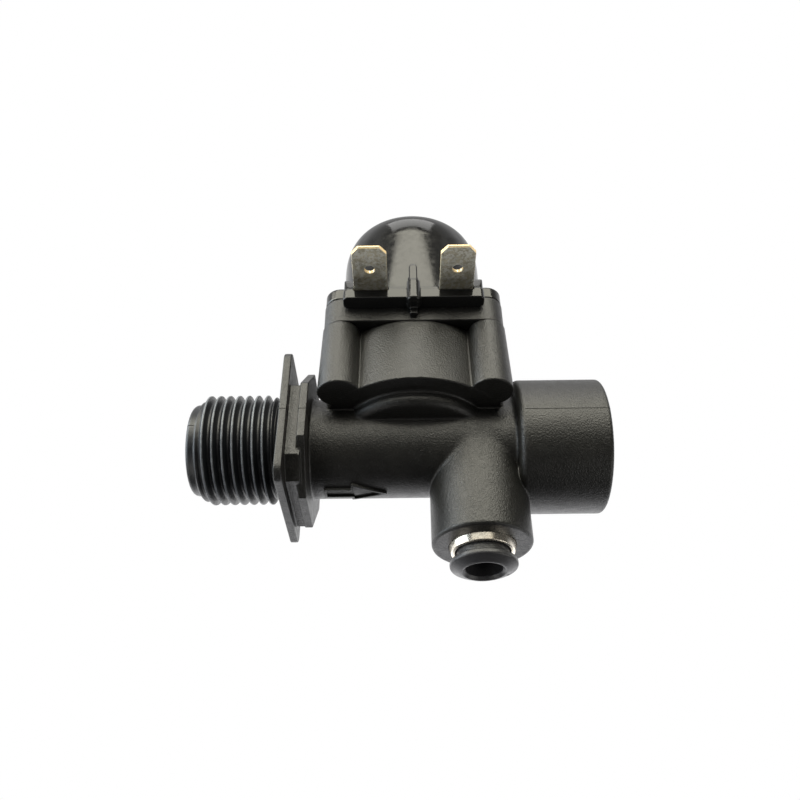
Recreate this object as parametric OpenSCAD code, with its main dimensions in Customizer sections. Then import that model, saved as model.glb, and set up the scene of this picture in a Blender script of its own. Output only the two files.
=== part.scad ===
// Inline solenoid valve: threaded inlet, threaded socket outlet and a push-in
// tube port on the outlet side. X runs along the flow axis, Z runs up the coil
// axis, and the origin is on the flow axis at the first crest of the inlet
// thread. The modules are drawn from where the flow and coil axes cross, and
// to_origin() carries them to the origin. Millimetres.

/* [Inlet] */
// Major radius of the inlet pipe thread (G 1/2)
thread_r = 10.4775; // [10.2:0.0025:10.6]
// Minor radius of the inlet pipe thread
thread_root_r = 9.316; // [9.1:0.004:9.5]
// Thread pitch
thread_pitch = 1.814; // [1.8:0.002:1.83]
// Half width of the square stop flange
flange_half = 13.77; // [13.2:0.01:15]
// Across-flats size of the octagonal collar
collar_af = 27.5; // [25.5:0.1:29]

/* [Body] */
// Outer radius of the main tube
tube_r = 9.48; // [9.3:0.01:10.2]
// Outer radius of the outlet socket
socket_r = 12.78; // [12.2:0.01:14]
// Free end of the outlet socket along X
socket_end = 34.93; // [32:0.01:38]
// Outer radius of the push-in port boss
boss_r = 9; // [8.4:0.05:9.2]
// Position of the port boss along X
boss_x = 11.53; // [10.5:0.01:12.5]
// Radius of the chamber wall at its foot
drum_r = 18.4; // [18:0.05:19]

/* [Coil] */
// Outer radius of the coil moulding
coil_r = 14.7; // [14:0.05:15]
// Height of the coil top above the flow axis
coil_top = 51.5; // [51:0.1:54]
// Width of each spade terminal
blade_w = 6.3; // [5.8:0.05:6.4]
// Distance of each spade terminal from the middle
blade_x = 8.05; // [7.8:0.01:8.3]
// Free end of the spade terminals along Y
blade_tip = -30.8; // [-32:0.1:-27]

/* [Push-in port] */
// Bore radius of the release collet (1/4 inch tube)
tube_port_r = 3.25; // [3.15:0.01:3.3]
// Outer radius of the release collet flange
collet_r = 6; // [5.6:0.05:6.4]

/* [Output] */
// Which sub-part to draw

/* [Hidden] */
$fn = 96;
overlap = 0.01;          // sinks one shape into the next
gap = 0.02;              // clearance between fitted parts
cut = 1;                 // run of a cutter past a face

// Stations along X
nose_x = -42;            // free end of the inlet
crest0_x = -39.1;        // first thread crest
crests = 8;
flange_x0 = -24.41;
flange_x1 = -22.97;
neck_x1 = -20.9;
collar_x1 = -19.4;
socket_x0 = 18.48;

// Body and bonnet
nose_r = 8.75;
undercut_r = 8.95;       // between the thread and the flange
socket_bore_r = thread_root_r;
post = 13.8;             // screw post centre offset in X and Y
post_r0 = 3.94;          // post radius at the foot
post_r1 = 3.5;           // post radius at the bonnet
drum_top_r = 17.2;       // chamber wall radius at the bonnet
skirt_z = 2.95;          // underside of the chamber wall
sump_z = 0.36;           // underside of the round sump
sump_r = 14.6;
seat_z = 13.6;           // main seat
small_hole_x = 6.8;      // hole through the diaphragm and its insert
split_z = 17.5;          // body to bonnet joint
lid_z = 23.2;            // bonnet to coil joint
head_z = 24.1;           // seat of the sunk screw heads
screw_hole_r = 1.95;
boss_z = -20.7;          // end face of the port boss

// Armature tube
guide_r = 4.25;          // armature guide bore
guide_top_z = 45.7;
armature_tube_r = 5.4;   // outside
pocket_z = 29.5;         // floor of the spring pocket
core_z = 39.3;           // underside of the fixed core

// Coil
foot_z = 26;             // top of the coil foot flange
cavity_z0 = 27;
cavity_z1 = 48.4;
bobbin_z0 = 29;
bobbin_z1 = 46.4;
bobbin_flange = 1.2;
winding_z0 = bobbin_z0 + bobbin_flange;
winding_z1 = bobbin_z1 - bobbin_flange;
bobbin_r = 6.5;
coil_bore_r = 5.5;       // bore of the bobbin and pole washers
winding_r = 10.5;
iron_r = 12.6;           // outside of the yoke and pole washers

// Terminals and leads
blade_z0 = 22.5;
blade_t = 0.8;
tongue_z1 = 25.2;        // top of the tongue, where the lead starts
block_y0 = -20.2;        // front of the terminal block
block_y1 = -17.2;

// ---- Helpers ----

module to_origin() { translate([-crest0_x, 0, 0]) children(); }

module at_port() { translate([boss_x, 0, 0]) children(); }

module at_posts() {
    for (sx = [-1, 1], sy = [-1, 1])
        translate([sx * post, sy * post, 0]) children();
}

module at_leads() {
    for (side = [-1, 1]) translate([side * 6.4, -8.4, 0]) children();
}

// Cylinder, or cone where end_r is given
module along_z(z0, z1, r, end_r = undef) {
    translate([0, 0, z0])
        cylinder(h = z1 - z0, r1 = r, r2 = end_r == undef ? r : end_r);
}

module along_x(x0, x1, r, end_r = undef) {
    translate([x0, 0, 0]) rotate([0, 90, 0]) along_z(0, x1 - x0, r, end_r);
}

module ring(z0, z1, outer_r, bore_r) {
    difference() {
        along_z(z0, z1, outer_r);
        along_z(z0 - cut, z1 + cut, bore_r);
    }
}

// Box centred on X = 0
module mid_box(y0, z0, size) {
    translate([-size[0] / 2, y0, z0]) cube(size);
}

module cross_slots(z0, size) {
    for (a = [0, 90]) rotate(a) mid_box(-size[1] / 2, z0, size);
}

// Plate across the flow; its outline is drawn in Y and Z
module x_plate(x0, x1) {
    translate([x0, 0, 0]) rotate([90, 0, 90])
        linear_extrude(height = x1 - x0) children();
}

module rounded_square(half, r) {
    square([2 * half, 2 * (half - r)], center = true);
    square([2 * (half - r), 2 * half], center = true);
    for (sx = [-1, 1], sy = [-1, 1])
        translate([sx * (half - r), sy * (half - r)]) circle(r = r);
}

// ---- Valve body ----

// Neck section [y, z]: wide corner cuts below, shallow ones above
neck_outline = [[12, -8.6], [8.6, -12], [-8.6, -12], [-12, -8.6],
                [-12, 6.4], [-8, 9.3], [8, 9.3], [12, 6.4]];

// Thread drawn as parallel rings: crest flats on the major radius
module inlet_thread() {
    // [radius, place from the crest]
    tooth = [[thread_root_r, -0.72], [thread_r, -0.16],
             [thread_r, 0.16], [thread_root_r, 0.72]];
    start = crest0_x - 0.9;
    last = crest0_x + (crests - 1) * thread_pitch;
    end = flange_x0 + 0.5;
    rotate([0, 90, 0]) rotate_extrude()
        polygon(concat(
            [[0, start], [thread_root_r, start]],
            [for (k = [0 : crests - 1], point = tooth)
                point + [0, crest0_x + k * thread_pitch]],
            [[thread_root_r, last + 0.9], [undercut_r, last + 1.2],
             [undercut_r, end], [0, end]]));
}

module inlet_outside() {
    along_x(nose_x, nose_x + 0.5, nose_r - 0.5, nose_r);
    along_x(nose_x + 0.5, crest0_x - 0.5, nose_r);
    inlet_thread();
    x_plate(flange_x0, flange_x1) rounded_square(flange_half, 2.5);
    x_plate(flange_x1 - overlap, neck_x1) polygon(neck_outline);
    x_plate(neck_x1 - overlap, collar_x1)
        rotate(22.5) circle(r = collar_af / 2 / cos(22.5), $fn = 8);
}

// Main tube and outlet socket, with conical steps and edge chamfers
module outlet_outside() {
    tube_step = 0.8;
    socket_step = 1.2;
    back_chamfer = 0.8;
    end_chamfer = 0.6;
    along_x(collar_x1 - overlap, collar_x1 + tube_step, tube_r + tube_step, tube_r);
    along_x(collar_x1, socket_x0 + 0.5, tube_r);
    along_x(socket_x0 - socket_step, socket_x0 + overlap, tube_r, tube_r + socket_step);
    along_x(socket_x0, socket_x0 + back_chamfer, socket_r - back_chamfer, socket_r);
    along_x(socket_x0 + back_chamfer, socket_end - end_chamfer, socket_r);
    along_x(socket_end - end_chamfer, socket_end, socket_r, socket_r - end_chamfer);
}

// Round sump under the chamber, with a rounded edge
module sump() {
    round_r = 1.5;
    rotate_extrude() {
        translate([0, sump_z]) square([sump_r - round_r, 3]);
        translate([0, sump_z + round_r]) square([sump_r, 2]);
        translate([sump_r - round_r, sump_z + round_r]) circle(r = round_r);
    }
}

module port_boss() {
    chamfer = 0.8;
    at_port() {
        along_z(boss_z, boss_z + chamfer, boss_r - chamfer, boss_r);
        along_z(boss_z + chamfer, 0, boss_r);
    }
}

module arrow_2d(inset) {
    polygon([[-16.7 + inset, 1.25 - inset], [-16.7 + inset, -1.25 + inset],
             [-11.7 + inset, -1.25 + inset], [-11.7 + inset, -2.5 + 1.9 * inset],
             [-5.65 - 2.4 * inset, 0], [-11.7 + inset, 2.5 - 1.9 * inset],
             [-11.7 + inset, 1.25 - inset]]);
}

// Raised outline of the flow arrow, under the tube
module flow_arrow() {
    translate([0, 0, -tube_r - 0.35]) linear_extrude(height = 1.4)
        difference() {
            arrow_2d(0);
            arrow_2d(0.5);
        }
}

module body_outside() {
    inlet_outside();
    outlet_outside();
    sump();
    along_z(skirt_z, split_z, drum_r, drum_top_r);
    at_posts() along_z(skirt_z, split_z, post_r0, post_r1);
    port_boss();
    flow_arrow();
}

// Relief around the thread, so that the flange face seats a washer
module flange_relief() {
    difference() {
        along_x(flange_x0 - cut, flange_x0 + 0.3, 10.7);
        along_x(flange_x0 - 2, flange_x0 + cut, undercut_r);
        translate([flange_x0 - 2, -12, -12]) cube([2, 24, 24]);
    }
}

module water_ways() {
    outlet_way_r = 5.4;
    // inlet way, opening into the ring chamber
    along_x(nose_x - cut, nose_x + 1.9, 7.4);
    along_x(nose_x - cut, -8, 6.6);
    // ring chamber around the seat
    ring(3.6, 16.2, 12.9, 6.4);
    along_z(seat_z, seat_z + 2.6, 6.9);
    along_z(15.9, 17.9, 15.4);
    // seat way down to the outlet
    along_z(-3, 17, 4.6);
    translate([0, 0, -3]) along_x(0, socket_x0 + 2, outlet_way_r);
    // outlet socket, at the minor radius of G 1/2, with a flared mouth
    along_x(19.6, socket_end + cut, socket_bore_r);
    along_x(socket_end - 1.2, socket_end + overlap, 9.316, 10.52);
}

// Stepped bore of the push-in port: [radius, top z]
port_steps = [[5.95, -17.2], [5.4, -14.4], [5, -12.4], [3.45, -10.2], [2.4, -5.2]];

module valve_body() {
    color("#26262a") to_origin() difference() {
        body_outside();
        flange_relief();
        water_ways();
        at_port() for (step = port_steps) along_z(-30, step[1], step[0]);
        // pilot holes for the bonnet screws
        at_posts() along_z(6, 26, 1.45);
    }
}

// ---- Strainer and diaphragm ----

module inlet_strainer() {
    end_x = -30;
    color("#e8e6da") to_origin() difference() {
        union() {
            along_x(nose_x + 0.1, nose_x + 1.8, 7.38);
            along_x(nose_x + 0.2, end_x, 6.3);
        }
        along_x(nose_x - cut, end_x - 1, 5.6);
        // side slots, three along the length
        for (a = [0 : 36 : 144], k = [0 : 2])
            translate([-39 + 2.7 * k, 0, 0]) rotate([a, 0, 0])
                translate([0, -8, -0.9]) cube([2, 16, 1.8]);
        // holes in the end wall
        for (a = [0 : 60 : 300])
            rotate([a, 0, 0]) translate([0, 3.6, 0])
                along_x(end_x - 2, end_x + cut, 0.9);
        along_x(end_x - 2, end_x + cut, 1.2);
    }
}

// Half section of the diaphragm: [radius, z]
diaphragm_outline = [
    [1.95, seat_z], [8.2, seat_z], [8.6, 14.3], [9.6, 16.2], [10.6, 16.8],
    [11.8, 16.5], [12.6, 15.92], [15.35, 15.92], [15.35, split_z],
    [12.2, split_z], [11.2, 17.45], [10.2, 17.4], [8.8, 16.6], [8.1, 15],
    [1.95, 15]];

module diaphragm() {
    color("#1c1c1e") to_origin() difference() {
        rotate_extrude() polygon(diaphragm_outline);
        translate([small_hole_x, 0, 0]) along_z(10, 18, 0.45);
    }
}

module diaphragm_insert() {
    color("#d9d4c4") to_origin() difference() {
        union() {
            along_z(15, 16.2, 7.6);
            along_z(12.6, 15.6, 1.9);
            along_z(12.4, 13.59, 3.4);
            along_z(16.2, 17, 2, 1.2);
        }
        along_z(12, 18, 0.55);
        translate([small_hole_x, 0, 0]) along_z(14, 18, 0.35);
        // square pits in the upper face
        for (a = [0 : 90 : 270]) rotate(a)
            translate([4.4, -0.6, 15.7]) cube([1.2, 1.2, 1]);
    }
}

// ---- Bonnet and screws ----

module bonnet() {
    chamber_z1 = 20.2;
    color("#242428") to_origin() difference() {
        union() {
            translate([0, 0, split_z]) linear_extrude(height = lid_z - split_z)
                rounded_square(17.15, post_r1);
            along_z(lid_z - 1, guide_top_z + 1, armature_tube_r);
        }
        // pilot chamber, then the armature guide
        along_z(split_z - cut, chamber_z1, 12.4);
        along_z(19, guide_top_z, guide_r);
        along_z(chamber_z1 - overlap, chamber_z1 - overlap + 0.8, 5.2, guide_r);
        at_posts() along_z(split_z - cut, split_z + 7, screw_hole_r);
        // lightening pockets on the upper face
        for (a = [45 : 90 : 315]) rotate(a)
            translate([9.4, -3, 21.6]) cube([4.2, 6, 3]);
    }
}

module screw_one() {
    head_r = 2.65;
    root_r = 1.1;
    pitch = 1.25;
    // [radius, z above the foot of the tooth]
    tooth = [[root_r, 0], [1.44, 0.5], [root_r, 1]];
    shank_lap = 0.1;
    difference() {
        union() {
            along_z(head_z + 1.1, head_z + 1.8, head_r, 2);
            along_z(head_z + 0.01, head_z + 1.11, head_r);
            along_z(split_z, head_z + shank_lap, 1.75);
            rotate_extrude() polygon(concat(
                [[0, 6.4], [0.5, 6.4], [root_r, 7.2]],
                [for (k = [0 : 7], point = tooth) point + [0, 7.3 + pitch * k]],
                [[root_r, split_z + shank_lap], [0, split_z + shank_lap]]));
        }
        cross_slots(head_z + 0.8, [3, 0.7, 3]);
    }
}

module bonnet_screws() { color("#b9bcc0") to_origin() at_posts() screw_one(); }

// ---- Terminals and leads ----

// Blade, then a crank up into the coil foot and a tongue to the lead
module terminal_shape() {
    half = blade_w / 2;
    root_y = -17.7;
    shoulder_y = blade_tip + 1.6;
    crank = [5.2, -18.5];
    tongue_w = 2.6;
    difference() {
        translate([blade_x, 0, blade_z0]) linear_extrude(height = blade_t)
            polygon([[-half, root_y], [-half, shoulder_y],
                     [-half + 1.3, blade_tip], [half - 1.3, blade_tip],
                     [half, shoulder_y], [half, root_y]]);
        translate([blade_x, blade_tip + 5.4, 0])
            along_z(blade_z0 - cut, blade_z0 + 2, 0.95, $fn = 48);
    }
    translate([crank[0], crank[1], blade_z0])
        cube([tongue_w, blade_t, tongue_z1 - blade_z0]);
    translate([crank[0], crank[1], tongue_z1 - blade_t])
        cube([tongue_w, 10.9, blade_t]);
}

module terminal_right() { color("#c9b37a") to_origin() terminal_shape(); }

module terminal_left() {
    color("#c9b37a") to_origin() mirror([1, 0, 0]) terminal_shape();
}

module coil_leads() {
    color("#b8662e") to_origin()
        at_leads() along_z(tongue_z1, winding_z0, 0.3, $fn = 24);
}

// ---- Coil ----

// Coil barrel: slight taper near the top, then a rounded rim
module coil_barrel() {
    round_r = 3.4;
    rim_z = coil_top - round_r;
    rim_r = coil_r - 0.32;
    rotate_extrude() {
        polygon([[0, foot_z - 1], [coil_r, foot_z - 1],
                 [coil_r, coil_top - 8], [rim_r, rim_z], [0, rim_z]]);
        translate([0, rim_z]) square([rim_r - round_r, round_r]);
        translate([rim_r - round_r, rim_z]) circle(r = round_r);
    }
}

// Block across the front of the foot: a full-width slab with a chamfered
// cheek above it at each terminal and a rounded post at each end
module terminal_block() {
    half = 12.1;
    depth = block_y1 - block_y0;
    base_z = 20.5;
    post_y = -19;
    post_h = 4.6;
    end_r = 1.2;
    cheek_x = 8.45;
    cheek_half = 3.65;
    mid_box(block_y0, base_z, [2 * half, depth, 2.4]);
    for (side = [-1, 1]) {
        x_plate(side * cheek_x - cheek_half, side * cheek_x + cheek_half)
            polygon([[block_y1, 21], [block_y0, 21], [block_y0, 25.1],
                     [-19.3, foot_z], [block_y1, foot_z]]);
        translate([side * half, 0, 0]) {
            translate([0, post_y, 0]) along_z(base_z, base_z + post_h, end_r);
            mid_box(post_y, base_z, [2 * end_r, block_y1 - post_y, post_h]);
        }
    }
    mid_box(-17.3, lid_z, [22, 3, foot_z - lid_z]);
}

// Barrier between the blades: thick foot and thin fin with a round top
module barrier_rib() {
    foot_y = -19.75;
    foot_r = 1.25;
    base_z = 19.8;
    fin_r = 0.8;
    fin_z1 = 30.2;
    mid_box(foot_y, base_z, [2 * foot_r, block_y1 - foot_y, 5]);
    translate([0, foot_y, 0]) along_z(base_z, base_z + 5, foot_r);
    mid_box(-18.6, 24, [2 * fin_r, 6, fin_z1 - 24]);
    mid_box(-18.3, 18.3, [1.5, 1, 4]);
    translate([0, -13, fin_z1]) rotate([90, 0, 0]) along_z(0, 5.6, fin_r);
}

module coil_overmould() {
    color("#1d1d20") to_origin() difference() {
        union() {
            translate([0, 0, lid_z]) linear_extrude(height = foot_z - lid_z)
                rounded_square(17, 3);
            coil_barrel();
            terminal_block();
            barrier_rib();
        }
        along_z(lid_z - cut, lid_z + 24, 5.46);
        along_z(cavity_z0, cavity_z1, iron_r + gap);
        at_posts() {
            along_z(20, 28, screw_hole_r);
            along_z(head_z, head_z + 8, 2.75);
        }
        terminal_shape();
        mirror([1, 0, 0]) terminal_shape();
        at_leads() along_z(25, 28, 0.32, $fn = 24);
    }
}

module coil_bobbin() {
    flange_r = 11.2;
    color("#e3ded0") to_origin() difference() {
        union() {
            ring(bobbin_z0, bobbin_z1, bobbin_r, coil_bore_r);
            ring(bobbin_z0, winding_z0, flange_r, coil_bore_r);
            ring(winding_z1, bobbin_z1, flange_r, coil_bore_r);
        }
        at_leads() along_z(28, 30.3, 0.5, $fn = 24);
    }
}

// Sleeve between the bobbin flanges
module winding_sleeve(outer_r, bore_r) {
    ring(winding_z0 + gap, winding_z1 - gap, outer_r, bore_r);
}

module coil_winding() {
    color("#b4622b") to_origin() winding_sleeve(winding_r, bobbin_r + gap);
}

module winding_tape() {
    color("#d8c63a") to_origin() winding_sleeve(10.85, winding_r + gap);
}

// Split sleeve, its slot towards the terminals
module yoke_shell() {
    color("#8b9097") to_origin() difference() {
        ring(bobbin_z0 + gap, bobbin_z1 - gap, iron_r, 11.25);
        mid_box(-14, 28, [3, 4, 20]);
    }
}

module pole_washer_lower() {
    color("#8b9097") to_origin() difference() {
        ring(cavity_z0 + gap, bobbin_z0, iron_r, coil_bore_r);
        at_leads() along_z(26, 30, 0.8, $fn = 24);
    }
}

module pole_washer_upper() {
    color("#8b9097") to_origin()
        ring(bobbin_z1, cavity_z1 - gap, iron_r, coil_bore_r);
}

// ---- Core and armature ----

module fixed_core() {
    color("#a8acb2") to_origin() difference() {
        along_z(core_z, guide_top_z - gap, guide_r - gap);
        ring(43, 43.8, 6, 3.7);
        along_z(core_z - cut, core_z + 1.2, 1);
    }
}

module armature() {
    outer_r = 4.2;
    shoulder_z = 20.4;
    color("#aeb2b8") to_origin() difference() {
        union() {
            along_z(shoulder_z, 36.4, outer_r);
            along_z(18.2, shoulder_z, 3.1, outer_r);
        }
        // spring pocket, seal pocket and two water grooves
        along_z(pocket_z, pocket_z + 8, 2.5);
        along_z(17, 20, 1.95);
        for (side = [-1, 1]) translate([side * 4.6, 0, 0])
            mid_box(-0.6, 17, [1.2, 1.2, 21]);
    }
}

module armature_seal() { color("#2b2b2e") to_origin() along_z(17.02, 19.99, 1.93); }

// Arc of the wire section, run forwards (1) or backwards (-1)
function wire_arc(r, way) = [for (k = [-2 : 2]) r * [cos(28 * k * way), sin(28 * k * way)]];

module armature_spring() {
    turns = 6;
    coil_z0 = 29.9;
    coil_h = 9;
    color("#c4c8cc") to_origin() {
        translate([0, 0, coil_z0])
            linear_extrude(height = coil_h, twist = -360 * turns,
                           slices = 18 * turns, convexity = 6, $fn = 12)
                polygon(concat(wire_arc(2.2, 1), wire_arc(1.9, -1)));
        // closed end rings
        ring(pocket_z + gap, coil_z0 + gap, 2.25, 1.8);
        ring(coil_z0 + coil_h - gap, core_z - gap, 2.25, 1.8);
    }
}

// ---- Push-in port ----

// Half section: [radius, z]
port_ring_outline = [[4.86, -17.22], [5.93, -17.22], [5.93, -20.7], [5.62, -21.9],
                     [5.5, -22], [5.1, -22], [4.86, -21.8]];

module port_ring() {
    color("#d8a640") to_origin() at_port() rotate_extrude() polygon(port_ring_outline);
}

module release_collet() {
    end_z = -25.5;
    // half section: [radius, z]
    outline = [[2, -16.6], [5.15, -16.6], [5.15, -17.1], [4.7, -17.2],
               [4.7, -23.5], [collet_r - 0.4, -23.6], [collet_r, -23.95],
               [collet_r, -24.4], [collet_r - 0.4, -24.8], [4, end_z], [2, end_z]];
    color("#141416") to_origin() at_port() difference() {
        rotate_extrude() polygon(outline);
        along_z(-27, -15, tube_port_r);
        along_z(end_z - 0.01, end_z + 0.59, tube_port_r + 0.6, tube_port_r);
        // groove for the grab ring
        ring(-18.2, -17.7, 4.12, 2);
        cross_slots(-21, [12, 0.8, 6]);
    }
}

module grab_ring() {
    color("#c9ccd1") to_origin() at_port() translate([0, 0, -18.15])
        linear_extrude(height = 0.4) difference() {
            circle(r = 4.1);
            circle(r = 3.05);
            for (a = [22.5 : 45 : 337.5]) rotate(a)
                translate([2.8, -0.3]) square([0.95, 0.6]);
        }
}

module port_oring() {
    color("#232326") to_origin() at_port() translate([0, 0, -13.45])
        rotate_extrude() translate([4.05, 0]) circle(r = 0.93, $fn = 32);
}

module port_spacer() { color("#d9d4c4") to_origin() at_port() ring(-15, -14.4, 5.36, 3.6); }

valve_body();
inlet_strainer();
diaphragm();
diaphragm_insert();
bonnet();
coil_overmould();
coil_bobbin();
coil_winding();
winding_tape();
yoke_shell();
pole_washer_lower();
pole_washer_upper();
fixed_core();
armature();
armature_seal();
armature_spring();
terminal_left();
terminal_right();
coil_leads();
bonnet_screws();
port_ring();
release_collet();
grab_ring();
port_oring();
port_spacer();
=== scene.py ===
import functools
import math
import bmesh
import bpy
import numpy as np
from mathutils import Matrix, Vector

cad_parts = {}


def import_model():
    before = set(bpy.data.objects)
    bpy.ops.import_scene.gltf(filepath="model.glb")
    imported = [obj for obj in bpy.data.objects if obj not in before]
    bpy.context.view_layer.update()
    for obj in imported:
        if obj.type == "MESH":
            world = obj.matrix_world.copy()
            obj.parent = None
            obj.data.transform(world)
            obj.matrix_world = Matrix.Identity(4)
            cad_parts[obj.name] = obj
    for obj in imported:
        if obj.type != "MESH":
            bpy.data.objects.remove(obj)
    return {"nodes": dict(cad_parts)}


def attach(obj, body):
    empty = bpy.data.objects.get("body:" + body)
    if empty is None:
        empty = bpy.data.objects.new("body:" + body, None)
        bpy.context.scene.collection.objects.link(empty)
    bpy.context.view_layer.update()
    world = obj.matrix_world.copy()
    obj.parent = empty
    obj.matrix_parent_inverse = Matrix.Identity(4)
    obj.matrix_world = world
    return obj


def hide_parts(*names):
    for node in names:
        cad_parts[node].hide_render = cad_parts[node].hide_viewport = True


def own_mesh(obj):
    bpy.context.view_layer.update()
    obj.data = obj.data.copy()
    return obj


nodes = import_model()["nodes"]
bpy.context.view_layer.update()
scene = bpy.context.scene

MM = 0.001
AXIS_X = 39.1              # scene X of the point where the axes cross

# Places shared by several pieces, mm
PORT_X = 11.53             # axis of the port
SCREW = 13.8               # screw axes, from the coil axis in X and in Y
HOOD_FOOT = 2.95
BONNET_FOOT = 17.5
COIL_FOOT = 23.2
BLADE_X, BLADE_Z = 8.05, 22.9      # middle of a spade blade
OCTAGON = 0.70711          # cosine of 45 degrees, for the collar and neck
UNSLANT = 0.7071           # makes a 45 degree plane a true distance elsewhere


# ---------------------------------------------------------------- distances
# Each shape is a distance field: negative inside, zero on the surface.
def join(a, b, blend):
    """Union with a fillet of size blend."""
    share = np.clip(0.5 + 0.5 * (b - a) / blend, 0, 1)
    return b * (1 - share) + a * share - blend * share * (1 - share)


def meet(a, b, blend):
    """Intersection with its edge softened."""
    return -join(-a, -b, blend)


def overlap(*fields):
    """Sharp intersection."""
    return functools.reduce(np.maximum, fields)


def carve(solid, tool, blend=0):
    return meet(solid, -tool, blend) if blend else np.maximum(solid, -tool)


def rounded_corner(a, b, radius):
    return np.minimum(np.maximum(a, b), 0) + np.hypot(np.maximum(a, 0), np.maximum(b, 0)) - radius


def prism(outline, along, start, end, rounding=0.0):
    """A 2D distance carried from start to end, with its rim edges rounded."""
    ends = np.abs(along - (start + end) / 2) - (end - start) / 2 + rounding
    return rounded_corner(outline + rounding, ends, rounding)


def cylinder(radial, along, radius, start, end, rounding=0.0):
    return prism(radial - radius, along, start, end, rounding)


def rectangle(u, v, half_u, half_v, radius):
    return rounded_corner(np.abs(u) - half_u + radius, np.abs(v) - half_v + radius, radius)


def segment(u, v, start, end):
    run, rise = end[0] - start[0], end[1] - start[1]
    t = ((u - start[0]) * run + (v - start[1]) * rise) / (run * run + rise * rise)
    t = np.clip(t, 0, 1)
    return np.hypot(u - start[0] - t * run, v - start[1] - t * rise)


def from_screw(x, y):
    return np.hypot(np.abs(x) - SCREW, np.abs(y) - SCREW)


# ---------------------------------------------------------------- meshing
def mesh_object(name, points, quads, body, normals=None):
    mesh = bpy.data.meshes.new(name)
    shifted = (points + np.array([AXIS_X, 0.0, 0.0])) * MM
    mesh.from_pydata(shifted.tolist(), [], quads.tolist())
    mesh.update()
    mesh.polygons.foreach_set("use_smooth", [True] * len(mesh.polygons))
    if normals is not None:
        mesh.normals_split_custom_set_from_vertices(normals.tolist())
    made = bpy.data.objects.new(name, mesh)
    scene.collection.objects.link(made)
    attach(made, body)
    return made


def sample(field, axes, slab=24):
    """Field values on the grid, worked out a slab at a time to spare memory."""
    values = np.empty([len(a) for a in axes], np.float32)
    for i in range(0, len(axes[0]), slab):
        values[i:i + slab] = field(axes[0][i:i + slab, None, None],
                                   axes[1][None, :, None], axes[2][None, None, :])
    return values


def cell_points(values, cells, corners):
    """Mean of the zero crossings on each cell's edges, in cells from the grid origin."""
    total = np.zeros((len(cells), 3))
    count = np.zeros(len(cells))
    for a in corners:
        for b in corners:
            if sum(b) - sum(a) == 1 and all(y >= x for x, y in zip(a, b)):
                value_a = values[tuple((cells + a).T)]
                value_b = values[tuple((cells + b).T)]
                crossed = (value_a < 0) != (value_b < 0)
                t = np.where(crossed, value_a / np.where(crossed, value_a - value_b, 1), 0)
                total += crossed[:, None] * (np.array(a) + t[:, None] * (np.array(b) - np.array(a)))
                count += crossed
    return cells + total / count[:, None]


def cell_quads(inside, index):
    """One quad round every grid edge that passes through the surface."""
    quads = []
    for d in range(3):
        u, v = [(1, 2), (2, 0), (0, 1)][d]
        first, second = [slice(None)] * 3, [slice(None)] * 3
        first[d], second[d] = slice(0, -1), slice(1, None)
        starts_inside = inside[tuple(first)]
        edges = np.argwhere(starts_inside != inside[tuple(second)])
        edges = edges[(edges[:, u] > 0) & (edges[:, v] > 0)
                      & (edges[:, u] < index.shape[u]) & (edges[:, v] < index.shape[v])]
        outward = starts_inside[tuple(edges.T)]
        around = []
        for du, dv in ((-1, -1), (0, -1), (0, 0), (-1, 0)):
            cell = edges.copy()
            cell[:, u] += du
            cell[:, v] += dv
            around.append(index[tuple(cell.T)])
        around = np.stack(around, 1)
        around[~outward] = around[~outward][:, ::-1]
        quads.append(around)
    return np.concatenate(quads)


def field_object(name, field, low, high, step, body="valve"):
    """Meshes the zero level of field by surface nets, then settles every vertex on it."""
    axes = [np.arange(low[i] - 1.5 * step, high[i] + 2.5 * step, step).astype(np.float32)
            for i in range(3)]
    values = sample(field, axes)
    inside = values < 0
    corners = [(i, j, k) for i in (0, 1) for j in (0, 1) for k in (0, 1)]
    filled = np.zeros([n - 1 for n in values.shape], np.uint8)
    nx, ny, nz = filled.shape
    for i, j, k in corners:
        filled += inside[i:i + nx, j:j + ny, k:k + nz]
    active = (filled > 0) & (filled < 8)
    cells = np.argwhere(active)
    index = np.full(filled.shape, -1, np.int64)
    index[active] = np.arange(len(cells))
    origin = np.array([a[0] for a in axes], float)
    points = origin + cell_points(values, cells, corners) * step
    quads = cell_quads(inside, index)

    def at(p):
        return field(p[:, 0], p[:, 1], p[:, 2])

    def gradient(p, reach=0.01):
        slope = np.stack([at(p + d) - at(p - d) for d in np.eye(3) * reach], 1)
        return slope / np.maximum(np.linalg.norm(slope, axis=1), 1e-9)[:, None]

    for _ in range(3):
        slope = gradient(points)
        points = points - np.clip(at(points), -0.5 * step, 0.5 * step)[:, None] * slope
    return mesh_object(name, points, quads, body, gradient(points, 0.03))


def ring_quads(rings, sides, closed=False):
    """Quads between successive rings of points; closed also joins the last to the first."""
    i, j = np.meshgrid(np.arange(rings if closed else rings - 1), np.arange(sides), indexing="ij")
    i2, j2 = (i + 1) % rings, (j + 1) % sides
    corners = [i * sides + j, i * sides + j2, i2 * sides + j2, i2 * sides + j]
    return np.stack(corners, -1).reshape(-1, 4)


def ring_object(name, points, quads):
    """An object on the valve, with its faces turned outward."""
    made = mesh_object(name, points, quads, "valve")
    bm = bmesh.new()
    bm.from_mesh(made.data)
    bmesh.ops.recalc_face_normals(bm, faces=bm.faces)
    bm.to_mesh(made.data)
    bm.free()
    return made


def turn_angles(sides):
    return np.linspace(0, 2 * math.pi, sides, endpoint=False)


def plain_rows(outline, sides):
    """Rows of a turned grid that keep one (axial, radius) all the way round."""
    return np.repeat(np.array(outline)[:, :, None], sides, axis=2)


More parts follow.
